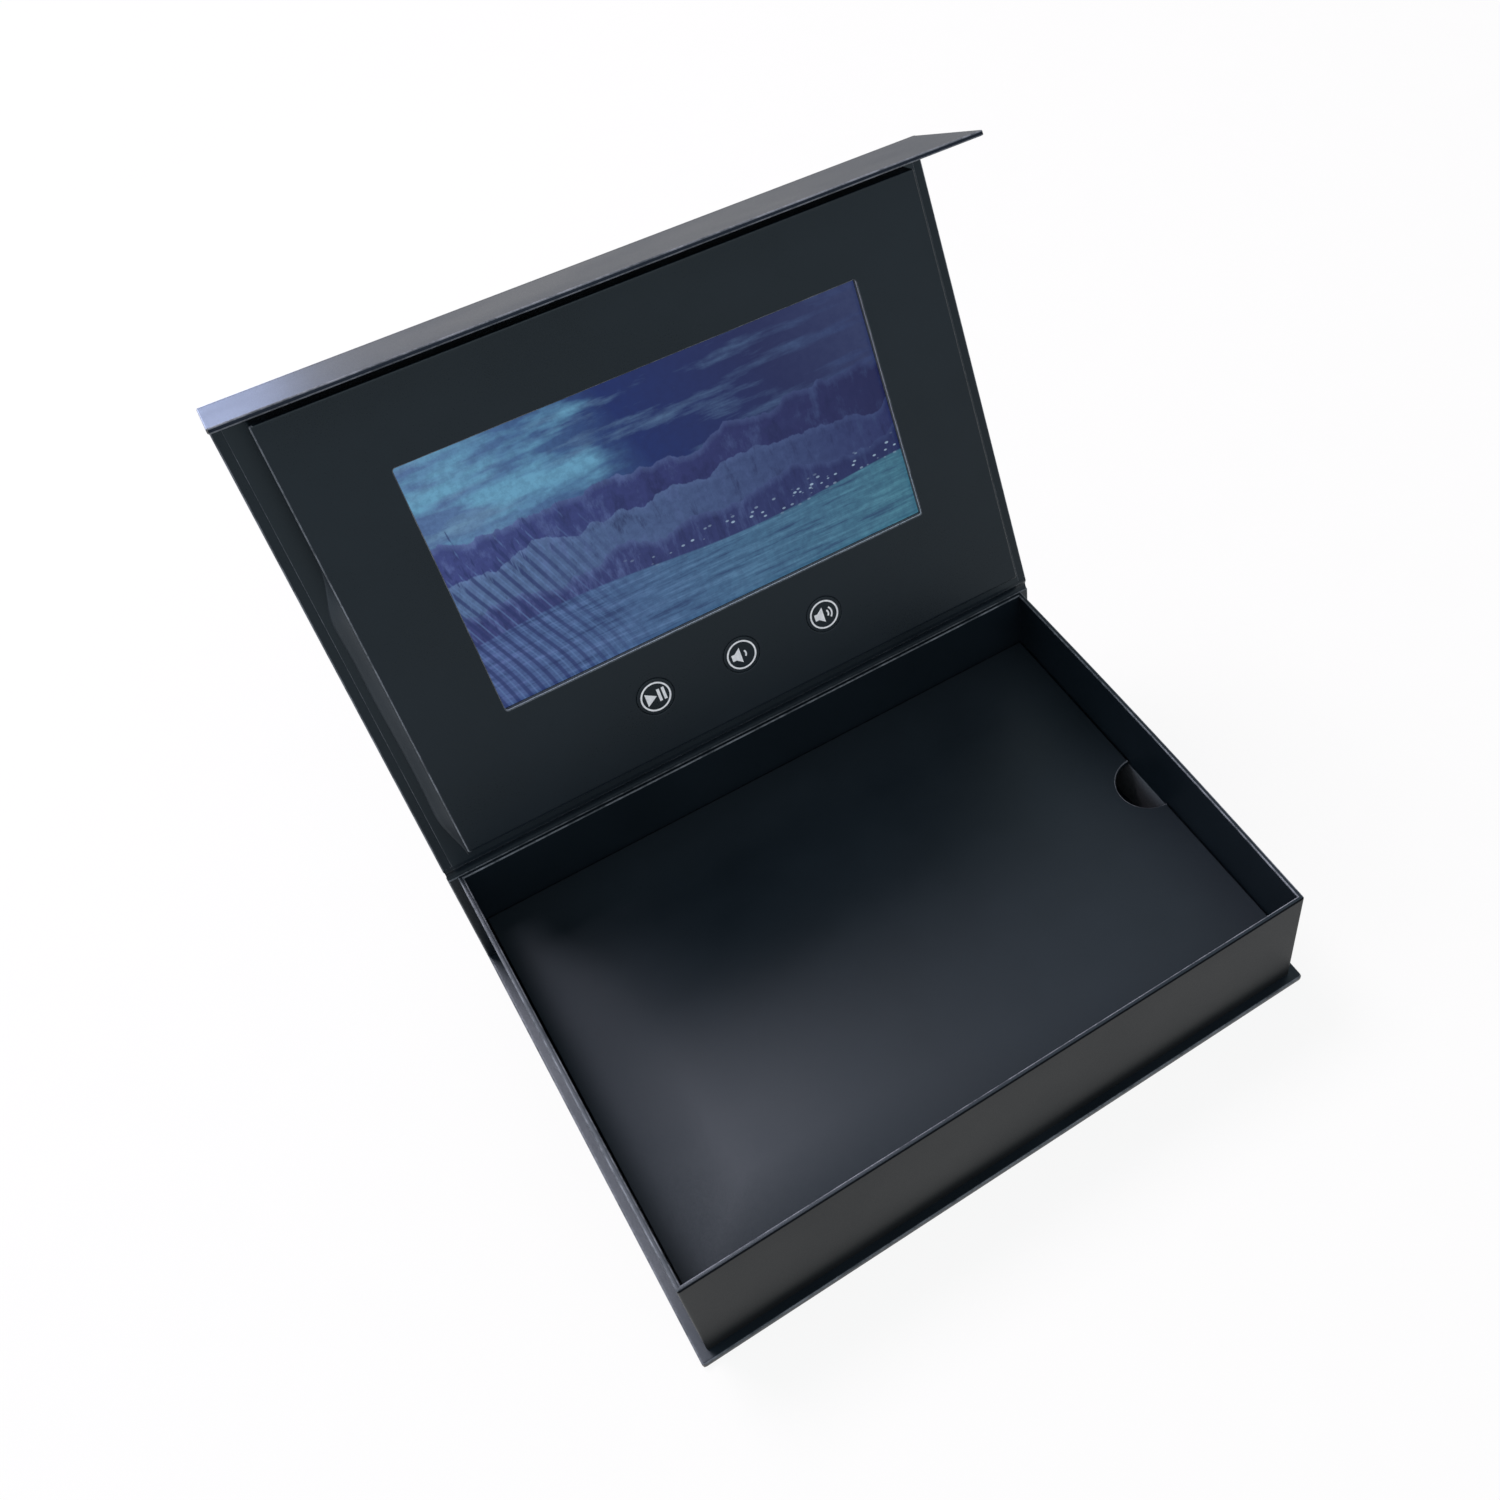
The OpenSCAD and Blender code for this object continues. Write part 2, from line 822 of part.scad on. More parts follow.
module tact_switches() {
  base_z = strip_z + strip_size[2];
  color(black_plastic)
    lid_place()
      for (i = [-1, 0, 1])
        translate([i * button_pitch, button_y, base_z])
          difference() {
            translate([-switch_w / 2, -switch_w / 2, 0])
              cube([switch_w, switch_w, switch_h]);
            translate([0, 0, switch_floor])
              cylinder(d = stem_d + 2 * stem_bore_gap, h = switch_h);
          }
}

// Flat cable from the buttons' board to the main board
module button_ribbon() {
  color(amber)
    lid_place()
      block([button_ribbon_x, button_y - button_tail, strip_z - flex_t],
            [button_ribbon_x + button_ribbon_w, main_y + plug_y + 1, strip_z]);
}

// Press disc of one button, its top let in for the print
module button_disc(i) {
  lid_place()
    translate([i * button_pitch, button_y, face_in])
      difference() {
        cylinder(d = button_d, h = lid_t - face_in);
        translate([0, 0, lid_t - face_in - print_t + print_proud])
          children();
      }
}

// Printed ring and sign of one button
module button_print(i) {
  color(white_ink)
    lid_place()
      translate([i * button_pitch, button_y, lid_t - print_t + print_proud])
        children();
}

module button_stem(i) {
  color([0.2, 0.2, 0.21])
    lid_place()
      translate([i * button_pitch, button_y, face_in - stem_l])
        cylinder(d = stem_d, h = stem_l);
}

module ring_sign() {
  difference() {
    cylinder(d = ring_d, h = print_t);
    translate([0, 0, -1])
      cylinder(d = ring_d - 2 * ring_line, h = print_t + 2);
  }
}

// A triangle and two bars
module play_sign() {
  ring_sign();
  linear_extrude(print_t)
    polygon([[-3.4, -2.4], [0.3, 0], [-3.4, 2.4]]);
  for (x = [0.8, 2.5])
    translate([x, -2.3, 0])
      cube([1, 4.6, print_t]);
}

// A horn with one arc for each step of loudness
module volume_sign(arcs) {
  ring_sign();
  linear_extrude(print_t)
    polygon([[-3.6, -1.2], [-2.3, -1.2], [-0.2, -2.9], [-0.2, 2.9], [-2.3, 1.2], [-3.6, 1.2]]);
  for (i = [1:arcs])
    rotate([0, 0, -42])
      rotate_extrude(angle = 84)
        translate([i * 1.3, 0])
          square([0.6, print_t]);
}

module play_button() {
  color(black_paper)
    button_disc(-1)
      play_sign();
}

module play_print() {
  button_print(-1)
    play_sign();
}

module play_stem() {
  button_stem(-1);
}

module volume_down_button() {
  color(black_paper)
    button_disc(0)
      volume_sign(1);
}

module volume_down_print() {
  button_print(0)
    volume_sign(1);
}

module volume_down_stem() {
  button_stem(0);
}

module volume_up_button() {
  color(black_paper)
    button_disc(1)
      volume_sign(2);
}

module volume_up_print() {
  button_print(1)
    volume_sign(2);
}

module volume_up_stem() {
  button_stem(1);
}

module flap_board() {
  color(greyboard)
    flap_place()
      difference() {
        shell_core(crease_space, flap_end, thin_t);
        for (x = [-magnet_x, magnet_x])
          translate([x, axis_z - magnet_z, thin_t - paper_t - magnet_t])
            cylinder(d = magnet_d + 2 * pocket_gap, h = magnet_t + 1);
      }
}

module flap_wrap() {
  color(black_paper)
    flap_place()
      shell_wrap(crease_space, flap_end, thin_t);
}

module flap_lining() {
  color(inner_paper)
    flap_place()
      shell_lining(crease_space, flap_end, thin_t);
}

module flap_magnets() {
  color(nickel)
    flap_place()
      for (x = [-magnet_x, magnet_x])
        translate([x, axis_z - magnet_z, thin_t - paper_t - magnet_t])
          cylinder(d = magnet_d, h = magnet_t);
}

base_board();
base_wrap();
base_lining();
spine_board();
spine_wrap();
lid_crease();
tray_front_wall();
tray_back_wall();
tray_left_wall();
tray_right_wall();
tray_wrap();
tray_magnets();
sensor_magnet();
platform_board();
platform_wrap();
platform_long_legs();
platform_short_legs();
lid_cover_board();
lid_wrap();
lid_lining();
flap_crease();
panel_spacer();
face_board();
face_wrap();
lcd_frame();
lcd_glass();
backlight();
lcd_ribbon();
main_board();
board_chips();
board_connectors();
board_pads();
usb_socket();
reed_switch();
battery();
battery_circuit();
battery_tape();
battery_leads();
speaker_frame();
speaker_cone();
speaker_magnet();
speaker_leads();
button_board();
tact_switches();
button_ribbon();
play_button();
play_print();
play_stem();
volume_down_button();
volume_down_print();
volume_down_stem();
volume_up_button();
volume_up_print();
volume_up_stem();
flap_board();
flap_wrap();
flap_lining();
flap_magnets();
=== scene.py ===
import json
import math

import bmesh
import bpy
import numpy as np
from mathutils import Matrix, Vector
from mathutils.geometry import tessellate_polygon


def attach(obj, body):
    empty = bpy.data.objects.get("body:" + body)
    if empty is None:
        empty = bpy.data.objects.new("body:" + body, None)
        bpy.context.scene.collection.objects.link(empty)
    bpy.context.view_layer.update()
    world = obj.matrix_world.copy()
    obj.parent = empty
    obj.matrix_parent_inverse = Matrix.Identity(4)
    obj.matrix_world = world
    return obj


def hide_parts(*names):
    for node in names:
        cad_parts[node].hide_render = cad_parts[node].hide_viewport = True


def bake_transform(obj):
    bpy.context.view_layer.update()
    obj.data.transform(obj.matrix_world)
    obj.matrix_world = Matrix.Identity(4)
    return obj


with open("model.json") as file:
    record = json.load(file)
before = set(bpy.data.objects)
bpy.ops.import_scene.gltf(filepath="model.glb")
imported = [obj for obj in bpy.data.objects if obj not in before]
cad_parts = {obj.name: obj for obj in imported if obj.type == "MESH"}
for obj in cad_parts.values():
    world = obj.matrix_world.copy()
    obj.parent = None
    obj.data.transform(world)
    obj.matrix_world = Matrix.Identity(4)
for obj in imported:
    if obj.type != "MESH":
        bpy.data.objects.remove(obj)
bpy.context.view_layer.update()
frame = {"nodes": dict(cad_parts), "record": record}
NODES = frame["nodes"]

# The camera, fitted to points and edges of the photograph: lengths in its pixels, place in metres
PHOTO = 1500
FOCAL = 1612.493
CENTRE_X, CENTRE_Y = 1013.790, 677.458
SENSOR = 36
EYE = (-0.112860, -0.270657, 0.501377)
RIGHT = (0.831163, -0.555481, -0.024696)
DOWN = (-0.439209, -0.628653, -0.641787)
FORWARD = (0.340975, 0.544277, -0.766485)


def camera():
    right, down, forward = Vector(RIGHT), Vector(DOWN), Vector(FORWARD)
    data = bpy.data.cameras.new("camera")
    data.sensor_fit = "HORIZONTAL"
    data.sensor_width = SENSOR
    data.lens = FOCAL / PHOTO * SENSOR
    data.shift_x = (PHOTO / 2 - CENTRE_X) / PHOTO
    data.shift_y = (CENTRE_Y - PHOTO / 2) / PHOTO
    data.clip_start = 0.01
    data.clip_end = 20
    cam = bpy.data.objects.new("camera", data)
    cam.matrix_world = Matrix((
        (right.x, -down.x, -forward.x, EYE[0]),
        (right.y, -down.y, -forward.y, EYE[1]),
        (right.z, -down.z, -forward.z, EYE[2]),
        (0, 0, 0, 1),
    ))
    bpy.context.scene.collection.objects.link(cam)
    bpy.context.scene.camera = cam


camera()


class Tree:
    """A short way to write a node material."""

    def __init__(self, name):
        self.mat = bpy.data.materials.new(name)
        self.mat.use_nodes = True
        self.nt = self.mat.node_tree
        self.nt.nodes.clear()
        self.out = self.nt.nodes.new("ShaderNodeOutputMaterial")
        self.bsdf = self.nt.nodes.new("ShaderNodeBsdfPrincipled")
        self.link(self.bsdf.outputs[0], self.out.inputs["Surface"])

    def node(self, kind, **values):
        n = self.nt.nodes.new("ShaderNode" + kind)
        for k, v in values.items():
            setattr(n, k, v)
        return n

    def link(self, a, b):
        self.nt.links.new(a, b)

    def coords(self):
        return self.node("TexCoord").outputs["Object"]

    def noise(self, scale, detail=2.0, rough=0.5, vector=None):
        n = self.node("TexNoise")
        n.inputs["Scale"].default_value = scale
        n.inputs["Detail"].default_value = detail
        n.inputs["Roughness"].default_value = rough
        self.link(vector or self.coords(), n.inputs["Vector"])
        return n.outputs["Fac"]

    def ramp(self, fac, stops):
        n = self.node("ValToRGB")
        e = n.color_ramp.elements
        while len(e) > 1:
            e.remove(e[-1])
        e[0].position, e[0].color = stops[0][0], (*stops[0][1], 1)
        for p, c in stops[1:]:
            x = e.new(p)
            x.color = (*c, 1)
        self.link(fac, n.inputs[0])
        return n.outputs[0]

    def map(self, value, a, b, c, d):
        n = self.node("MapRange")
        for i, v in enumerate((a, b, c, d)):
            n.inputs[i + 1].default_value = v
        self.link(value, n.inputs[0])
        return n.outputs[0]

    def mix(self, fac, a, b):
        n = self.node("Mix", data_type="RGBA")
        for v, i in ((fac, 0), (a, 6), (b, 7)):
            if isinstance(v, (int, float)):
                n.inputs[i].default_value = v
            elif isinstance(v, (tuple, list)):
                n.inputs[i].default_value = (*v, 1)
            else:
                self.link(v, n.inputs[i])
        return n.outputs[2]

    def math(self, op, a, b=0.0):
        n = self.node("Math", operation=op)
        for i, v in enumerate((a, b)):
            if isinstance(v, (int, float)):
                n.inputs[i].default_value = v
            else:
                self.link(v, n.inputs[i])
        return n.outputs[0]

    def bump(self, height, strength, distance, normal=None):
        n = self.node("Bump")
        n.inputs["Strength"].default_value = strength
        n.inputs["Distance"].default_value = distance
        self.link(height, n.inputs["Height"])
        if normal is not None:
            self.link(normal, n.inputs["Normal"])
        return n.outputs[0]

    def set(self, **values):
        for k, v in values.items():
            s = self.bsdf.inputs[k.replace("_", " ")]
            if isinstance(v, (int, float)):
                s.default_value = v
            elif isinstance(v, (tuple, list)):
                s.default_value = (*v, 1) if len(v) == 3 else v
            else:
                self.link(v, s)
        return self


SCREEN_STRENGTH = 1.0


def paper(name, colour, rough, wear_and_highlight=0.0, spec=0.25, tint=(0.80, 0.94, 1.0), polished=None):
    """Coated black paper: fine fibre grain, faint mottling, small scuffs and lighter rubbed folds, which
    are wear and in part a painted highlight.

    With polished, the half width and depth of a panel, its middle is smoother than its borders."""
    t = Tree(name)
    fine = t.noise(2600, 3, 0.65)
    fibre = t.noise(900, 4, 0.6)
    cloud = t.noise(22, 3, 0.55)
    scuff = t.noise(170, 6, 0.7)
    wave = t.noise(9, 2, 0.5)
    dark = tuple(c * 0.86 for c in colour)
    light = tuple(min(1, c * 1.14 + 0.001) for c in colour)
    base = t.ramp(cloud, [(0.3, dark), (0.7, light)])
    dust = t.map(scuff, 0.68, 0.8, 0.0, 0.4)
    base = t.mix(dust, base, tuple(min(1, c * 1.6 + 0.01) for c in colour))
    r = t.math("ADD", t.map(fine, 0.3, 0.7, rough - 0.05, rough + 0.05),
               t.map(cloud, 0.3, 0.7, -0.03, 0.03))
    if polished:
        sep = t.node("SeparateXYZ")
        t.link(t.coords(), sep.inputs[0])
        inset = [t.math("SUBTRACT", half, t.math("ABSOLUTE", sep.outputs[i]))
                 for i, half in enumerate(polished)]
        r = t.math("ADD", r, t.map(t.math("MINIMUM", *inset), 0.002, 0.030, 0.24, 0.0))
    # lighter rubbed patches: wear, and in part a painted highlight along the folds
    if wear_and_highlight:
        rub_and_highlight = t.noise(120, 7, 0.8)
        amount = t.map(rub_and_highlight, 0.4, 0.6, 0.2, 1.0)
        base = t.mix(t.math("MULTIPLY", amount, wear_and_highlight), base, (0.26, 0.28, 0.31))
    t.set(Base_Color=base, Roughness=r, Specular_IOR_Level=spec, Specular_Tint=tint)
    n = t.bump(wave, 0.05, 0.004)
    n = t.bump(fine, 0.06, 0.00012, n)
    n = t.bump(fibre, 0.05, 0.0002, n)
    t.set(Normal=n)
    return t.mat


def board(name, low, high):
    """Bare board: matt fibre between two colours, mottled by its plies."""
    t = Tree(name)
    fibre = t.noise(700, 6, 0.7)
    ply = t.noise(120, 3, 0.6)
    t.set(Base_Color=t.mix(t.map(ply, 0.3, 0.7, 0.0, 0.25),
                           t.ramp(fibre, [(0.3, low), (0.7, high)]), low))
    t.set(Roughness=t.map(fibre, 0.3, 0.7, 0.86, 0.96), Normal=t.bump(fibre, 0.3, 0.0002))
    return t.mat


def plain(name, colour, rough, metal=0.0):
    """One material with a fine grain in its colour, gloss and surface."""
    t = Tree(name)
    n = t.noise(800, 4, 0.6)
    dark = tuple(c * 0.85 for c in colour)
    light = tuple(min(1, c * 1.1) for c in colour)
    t.set(Base_Color=t.ramp(n, [(0.3, dark), (0.7, light)]))
    t.set(Roughness=t.map(n, 0.3, 0.7, max(0.02, rough - 0.06), rough + 0.06), Metallic=metal)
    t.set(Normal=t.bump(n, 0.1, 0.00015))
    return t.mat


def circuit(name):
    """Green board: copper lines under the resist and small bright pads."""
    t = Tree(name)
    grid = t.node("TexBrick")
    grid.inputs["Scale"].default_value = 420
    grid.inputs["Mortar Size"].default_value = 0.08
    t.link(t.coords(), grid.inputs["Vector"])
    cell = t.node("TexVoronoi")
    cell.inputs["Scale"].default_value = 330
    t.link(t.coords(), cell.inputs["Vector"])
    pad = t.map(cell.outputs["Distance"], 0.12, 0.16, 1.0, 0.0)
    base = t.mix(t.map(grid.outputs["Fac"], 0.2, 0.8, 0.0, 0.7),
                 (0.012, 0.085, 0.04), (0.03, 0.19, 0.08))
    t.set(Base_Color=t.mix(t.math("MULTIPLY", pad, 0.8), base, (0.62, 0.56, 0.36)),
          Roughness=t.map(pad, 0, 1, 0.42, 0.3))
    t.set(Normal=t.bump(grid.outputs["Fac"], 0.25, 0.0001))
    return t.mat


def screen_picture(name):
    """A lit display: a plain dusk landscape of layered ridges above still water."""
    t = Tree(name)
    uv = t.node("UVMap", uv_map="picture")
    sep = t.node("SeparateXYZ")
    t.link(uv.outputs[0], sep.inputs[0])
    u, v = sep.outputs[0], sep.outputs[1]

    def stretched(sx, sy, scale, detail, rough=0.6):
        m = t.node("Mapping")
        m.inputs["Scale"].default_value = (sx, sy, 1)
        t.link(uv.outputs[0], m.inputs["Vector"])
        return t.noise(scale, detail, rough, m.outputs[0])

    fine = stretched(1.8, 1.0, 30, 5, 0.7)
    across = t.math("ADD", t.math("MULTIPLY", u, 0.85), t.math("MULTIPLY", v, 0.15))
    # dusk sky, lighter to the left, with clouds and one bright opening
    colour = t.ramp(across, [
        (0.0, (0.065, 0.115, 0.270)), (0.2, (0.085, 0.165, 0.320)), (0.34, (0.050, 0.115, 0.250)),
        (0.5, (0.012, 0.026, 0.120)), (0.78, (0.017, 0.024, 0.085)), (1.0, (0.032, 0.045, 0.115)),
    ])
    cloud = stretched(1.3, 4.2, 2.6, 6, 0.62)
    colour = t.mix(t.map(cloud, 0.5, 0.66, 0.0, 0.75), colour,
                   t.mix(u, (0.150, 0.290, 0.430), (0.030, 0.050, 0.150)))
    place = t.math("MULTIPLY", t.map(u, 0.44, 0.36, 0.0, 1.0), t.map(v, 0.58, 0.74, 0.0, 1.0))
    opening = t.math("MULTIPLY", t.map(stretched(1.0, 2.2, 3.4, 4, 0.55), 0.46, 0.58, 0.0, 0.85), place)
    colour = t.mix(opening, colour, (0.130, 0.340, 0.500))
    # ridges, far to near
    for k, (base_v, amp, scale, left, right) in enumerate((
            (0.66, 0.30, 3.1, (0.040, 0.052, 0.190), (0.014, 0.017, 0.070)),
            (0.52, 0.24, 4.3, (0.085, 0.150, 0.290), (0.022, 0.030, 0.110)),
            (0.38, 0.20, 5.9, (0.036, 0.046, 0.160), (0.016, 0.024, 0.090)))):
        line = t.node("TexNoise", noise_dimensions="1D")
        line.inputs["Detail"].default_value = 7
        line.inputs["Roughness"].default_value = 0.55
        line.inputs["Scale"].default_value = scale
        t.link(t.math("ADD", u, 3.7 * k + 0.6), line.inputs["W"])
        height = t.math("SUBTRACT", line.outputs["Fac"], 0.5)
        top = t.math("ADD", t.math("MULTIPLY", height, amp), base_v)
        depth = t.math("SUBTRACT", top, v)
        body = t.mix(u, left, right)
        slope = stretched(7.0 + 3 * k, 1.6, 3.0, 6, 0.7)
        body = t.mix(t.map(slope, 0.52, 0.66, 0.0, 0.55), body,
                     t.mix(u, (0.120, 0.170, 0.380), (0.034, 0.060, 0.150)))
        body = t.mix(t.map(slope, 0.46, 0.34, 0.0, 0.6), body, (0.010, 0.014, 0.062))
        body = t.mix(t.map(depth, 0.0, 0.03, 0.4, 0.0), body,
                     t.mix(u, (0.150, 0.230, 0.450), (0.050, 0.080, 0.200)))
        colour = t.mix(t.map(depth, -0.002, 0.003, 0.0, 0.95), colour, body)
    # still water with long ripples, brighter to the right
    curve = t.math("MULTIPLY", t.math("SINE", t.math("MULTIPLY", u, 7.5)), 0.02)
    shore = t.math("SUBTRACT", t.math("ADD", curve, 0.27), v)
    ripple = stretched(1.2, 9.0, 5.0, 6, 0.65)
    water = t.mix(u, (0.060, 0.100, 0.250), (0.045, 0.150, 0.215))
    water = t.mix(t.map(ripple, 0.5, 0.64, 0.0, 0.6), water,
                  t.mix(u, (0.130, 0.180, 0.420), (0.085, 0.260, 0.330)))
    water = t.mix(t.map(ripple, 0.46, 0.36, 0.0, 0.65), water, (0.016, 0.034, 0.105))
    colour = t.mix(t.map(shore, -0.002, 0.004, 0.0, 0.96), colour, water)
    # small far lights along the shore
    dots = t.node("TexVoronoi")
    dots.inputs["Scale"].default_value = 46
    t.link(uv.outputs[0], dots.inputs["Vector"])
    off_shore = t.math("ABSOLUTE", t.math("SUBTRACT", shore, -0.035))
    near = t.math("MULTIPLY", t.map(off_shore, 0.01, 0.05, 1.0, 0.0), t.map(u, 0.3, 0.5, 0.0, 0.8))
    dot = t.map(dots.outputs["Distance"], 0.16, 0.24, 1.0, 0.0)
    colour = t.mix(t.math("MULTIPLY", dot, near), colour, (0.34, 0.47, 0.60))
    # reeds in the near left, bent by a slow noise
    bend = t.math("MULTIPLY", t.math("SUBTRACT", stretched(1.0, 1.0, 1.6, 1), 0.5), 0.07)
    lean = t.math("ADD", t.math("ADD", u, t.math("MULTIPLY", v, 0.22)), bend)
    stem = t.math("SINE", t.math("MULTIPLY", lean, 235.0))
    tall = stretched(14.0, 0.5, 2.0, 4, 0.7)
    below = t.math("SUBTRACT", t.math("MULTIPLY", tall, 1.15), v)
    reach = t.math("MULTIPLY", t.map(below, 0.0, 0.05, 0.0, 1.0), t.map(u, 0.36, 0.16, 0.0, 0.75))
    dark_stem = t.math("MULTIPLY", t.map(stem, 0.3, 0.8, 0.0, 1.0), reach)
    colour = t.mix(dark_stem, colour, (0.020, 0.032, 0.120))
    light_stem = t.math("MULTIPLY", t.map(stem, -0.85, -0.98, 0.0, 0.6), reach)
    colour = t.mix(light_stem, colour, (0.110, 0.200, 0.400))
    colour = t.mix(t.map(fine, 0.42, 0.6, 0.0, 0.22), colour, (0.010, 0.016, 0.070))
    # black outside the window
    in_u, in_v = (t.math("LESS_THAN", t.math("ABSOLUTE", t.math("SUBTRACT", w, 0.5)), 0.5) for w in (u, v))
    colour = t.mix(t.math("MULTIPLY", in_u, in_v), (0.0, 0.0, 0.0), colour)
    t.set(Base_Color=(0.003, 0.003, 0.005), Roughness=t.map(fine, 0.3, 0.7, 0.2, 0.28))
    t.set(Specular_IOR_Level=0.12, Emission_Color=colour, Emission_Strength=SCREEN_STRENGTH)
    return t.mat


# The record's slots under their own names, except black_paper (outer) and inner_paper (inner).
# The other papers are local variants: lighter folds (wear and in part a painted highlight), the matt
# outside, a near-black paper for painted shade on folds, and so on.
M = {
    "outer": paper("black_paper", (0.0055, 0.0090, 0.0132), 0.32),
    # The fold papers are lighter and rubbed: wear, and in part a painted highlight along the round edges.
    "outer_fold": paper("black_paper_fold", (0.014, 0.018, 0.023), 0.42, 0.55),
    "inner": paper("inner_paper", (0.0050, 0.0085, 0.0125), 0.40),
    "inner_fold": paper("inner_paper_fold", (0.014, 0.018, 0.023), 0.44, 0.7),
    "outside": paper("outside_paper", (0.0080, 0.0088, 0.0095), 0.42, 0.0, 0.10),
    "platform": paper("platform_paper", (0.0050, 0.0085, 0.0125), 0.39, polished=(0.1109, 0.0809)),
    # crease_shadow: a near-black paper on folds where a shadow line falls, painted shade.
    "crease": paper("crease_shadow", (0.0016, 0.0022, 0.0032), 0.60, 0.0, 0.05),
    "lid_sheet": paper("lid_sheet_paper", (0.0050, 0.0085, 0.0125), 0.36, 0.0, 0.30),
    # The side fold's paper is lighter than the lining it is part of: a painted sheen.
    "side_fold": paper("side_fold_painted_sheen", (0.0190, 0.0235, 0.0290), 0.42, 0.0, 0.35),
    "dark_board": board("dark_board", (0.080, 0.090, 0.105), (0.130, 0.142, 0.158)),
    "flap_paper": paper("flap_paper", (0.0070, 0.0095, 0.0140), 0.42, 0.0, 0.15, (0.60, 0.72, 1.0)),
    "greyboard": board("greyboard", (0.2, 0.185, 0.165), (0.33, 0.31, 0.28)),
    "core": board("board_core", (0.60, 0.62, 0.66), (0.80, 0.82, 0.86)),
    "spacer_board": plain("spacer_board", (0.05, 0.05, 0.055), 0.9),
    "steel": plain("steel", (0.6, 0.61, 0.63), 0.35, 1.0),
    "nickel": plain("nickel", (0.7, 0.69, 0.66), 0.22, 1.0),
    "light_guide": plain("light_guide", (0.9, 0.9, 0.88), 0.4),
    "circuit_board": circuit("circuit_board"),
    "amber_film": plain("amber_film", (0.5, 0.22, 0.04), 0.3),
    "black_plastic": plain("black_plastic", (0.02, 0.02, 0.022), 0.5),
    "plug_plastic": plain("plug_plastic", (0.75, 0.72, 0.64), 0.45),
    "foam_tape": plain("foam_tape", (0.8, 0.8, 0.8), 0.95),
    "foil": plain("foil", (0.72, 0.73, 0.75), 0.35, 1.0),
    "lead_red": plain("lead_red", (0.45, 0.02, 0.02), 0.35),
    "lead_black": plain("lead_black", (0.02, 0.02, 0.02), 0.35),
    "white_ink": plain("white_ink", (0.93, 0.94, 0.96), 0.5),
    "screen_glass": screen_picture("screen_glass"),
}
KEYS = {"black_paper": "outer", "inner_paper": "inner"}
for part in frame["record"]["subparts"]:
    o = NODES[part["node"]]
    s = part["material_slot"]
    o.data.materials.clear()
    o.data.materials.append(M[KEYS.get(s, s)])
NODES["face_board"].data.materials[0] = M["dark_board"]

# The same sizes as the part's source, in millimetres.
# AXIS is the lid's crease; U runs up the lid and N from its outer paper to its inside.
# HINGE2, FU and FN are the same three for the flap. PANEL and WINDOW are x0, x1, s0, s1 on the lid.
AXIS = np.array((0, 84.55, 53.4))
X = np.array((1.0, 0, 0))
OPEN, FOLD = math.radians(110.5), math.radians(82)
U = np.array((0, -math.cos(OPEN), math.sin(OPEN)))
N = np.array((0, -math.sin(OPEN), -math.cos(OPEN)))
INSET = 0.7
FOLD_S = 169.75
HINGE2 = AXIS + FOLD_S * U
FU = U * math.cos(FOLD) + N * math.sin(FOLD)
FN = -U * math.sin(FOLD) + N * math.cos(FOLD)
HALF = 116.25
LID_T = 16.0
LID_END = 167.55
FLAP_END = 49.9
PANEL = (-106.5, 106.5, 12.5, 164.75)
WINDOW = (-77.1, 77.1, 52.7, 138.6)
BUTTON_S, PITCH = 34.0, 32.0
BASE_Y = (-86.25, 85.25)
BOARD_TOP = 2.5
RIM = 51.5
TRAY = (-113, 113, -83, 83)
WALL = 1.7
FLOOR_TOP = 26.0
FLOOR_HALF_W, FLOOR_HALF_D = 110.9, 80.9
NOTCH_Y, NOTCH_R = -2.0, 11.5
SPINE_Y = (82.75, 85.25)
LINING_INSET = 3.2


def tray_place(p):
    return np.asarray(p, float) * 0.001


def lid_place(p):
    p = np.asarray(p, float)
    return (AXIS + p[:, :1] * X + p[:, 1:2] * U + (p[:, 2:3] - INSET) * N) * 0.001


def flap_place(p):
    p = np.asarray(p, float)
    return (HINGE2 + p[:, :1] * X + p[:, 1:2] * FU + (p[:, 2:3] - INSET) * FN) * 0.001


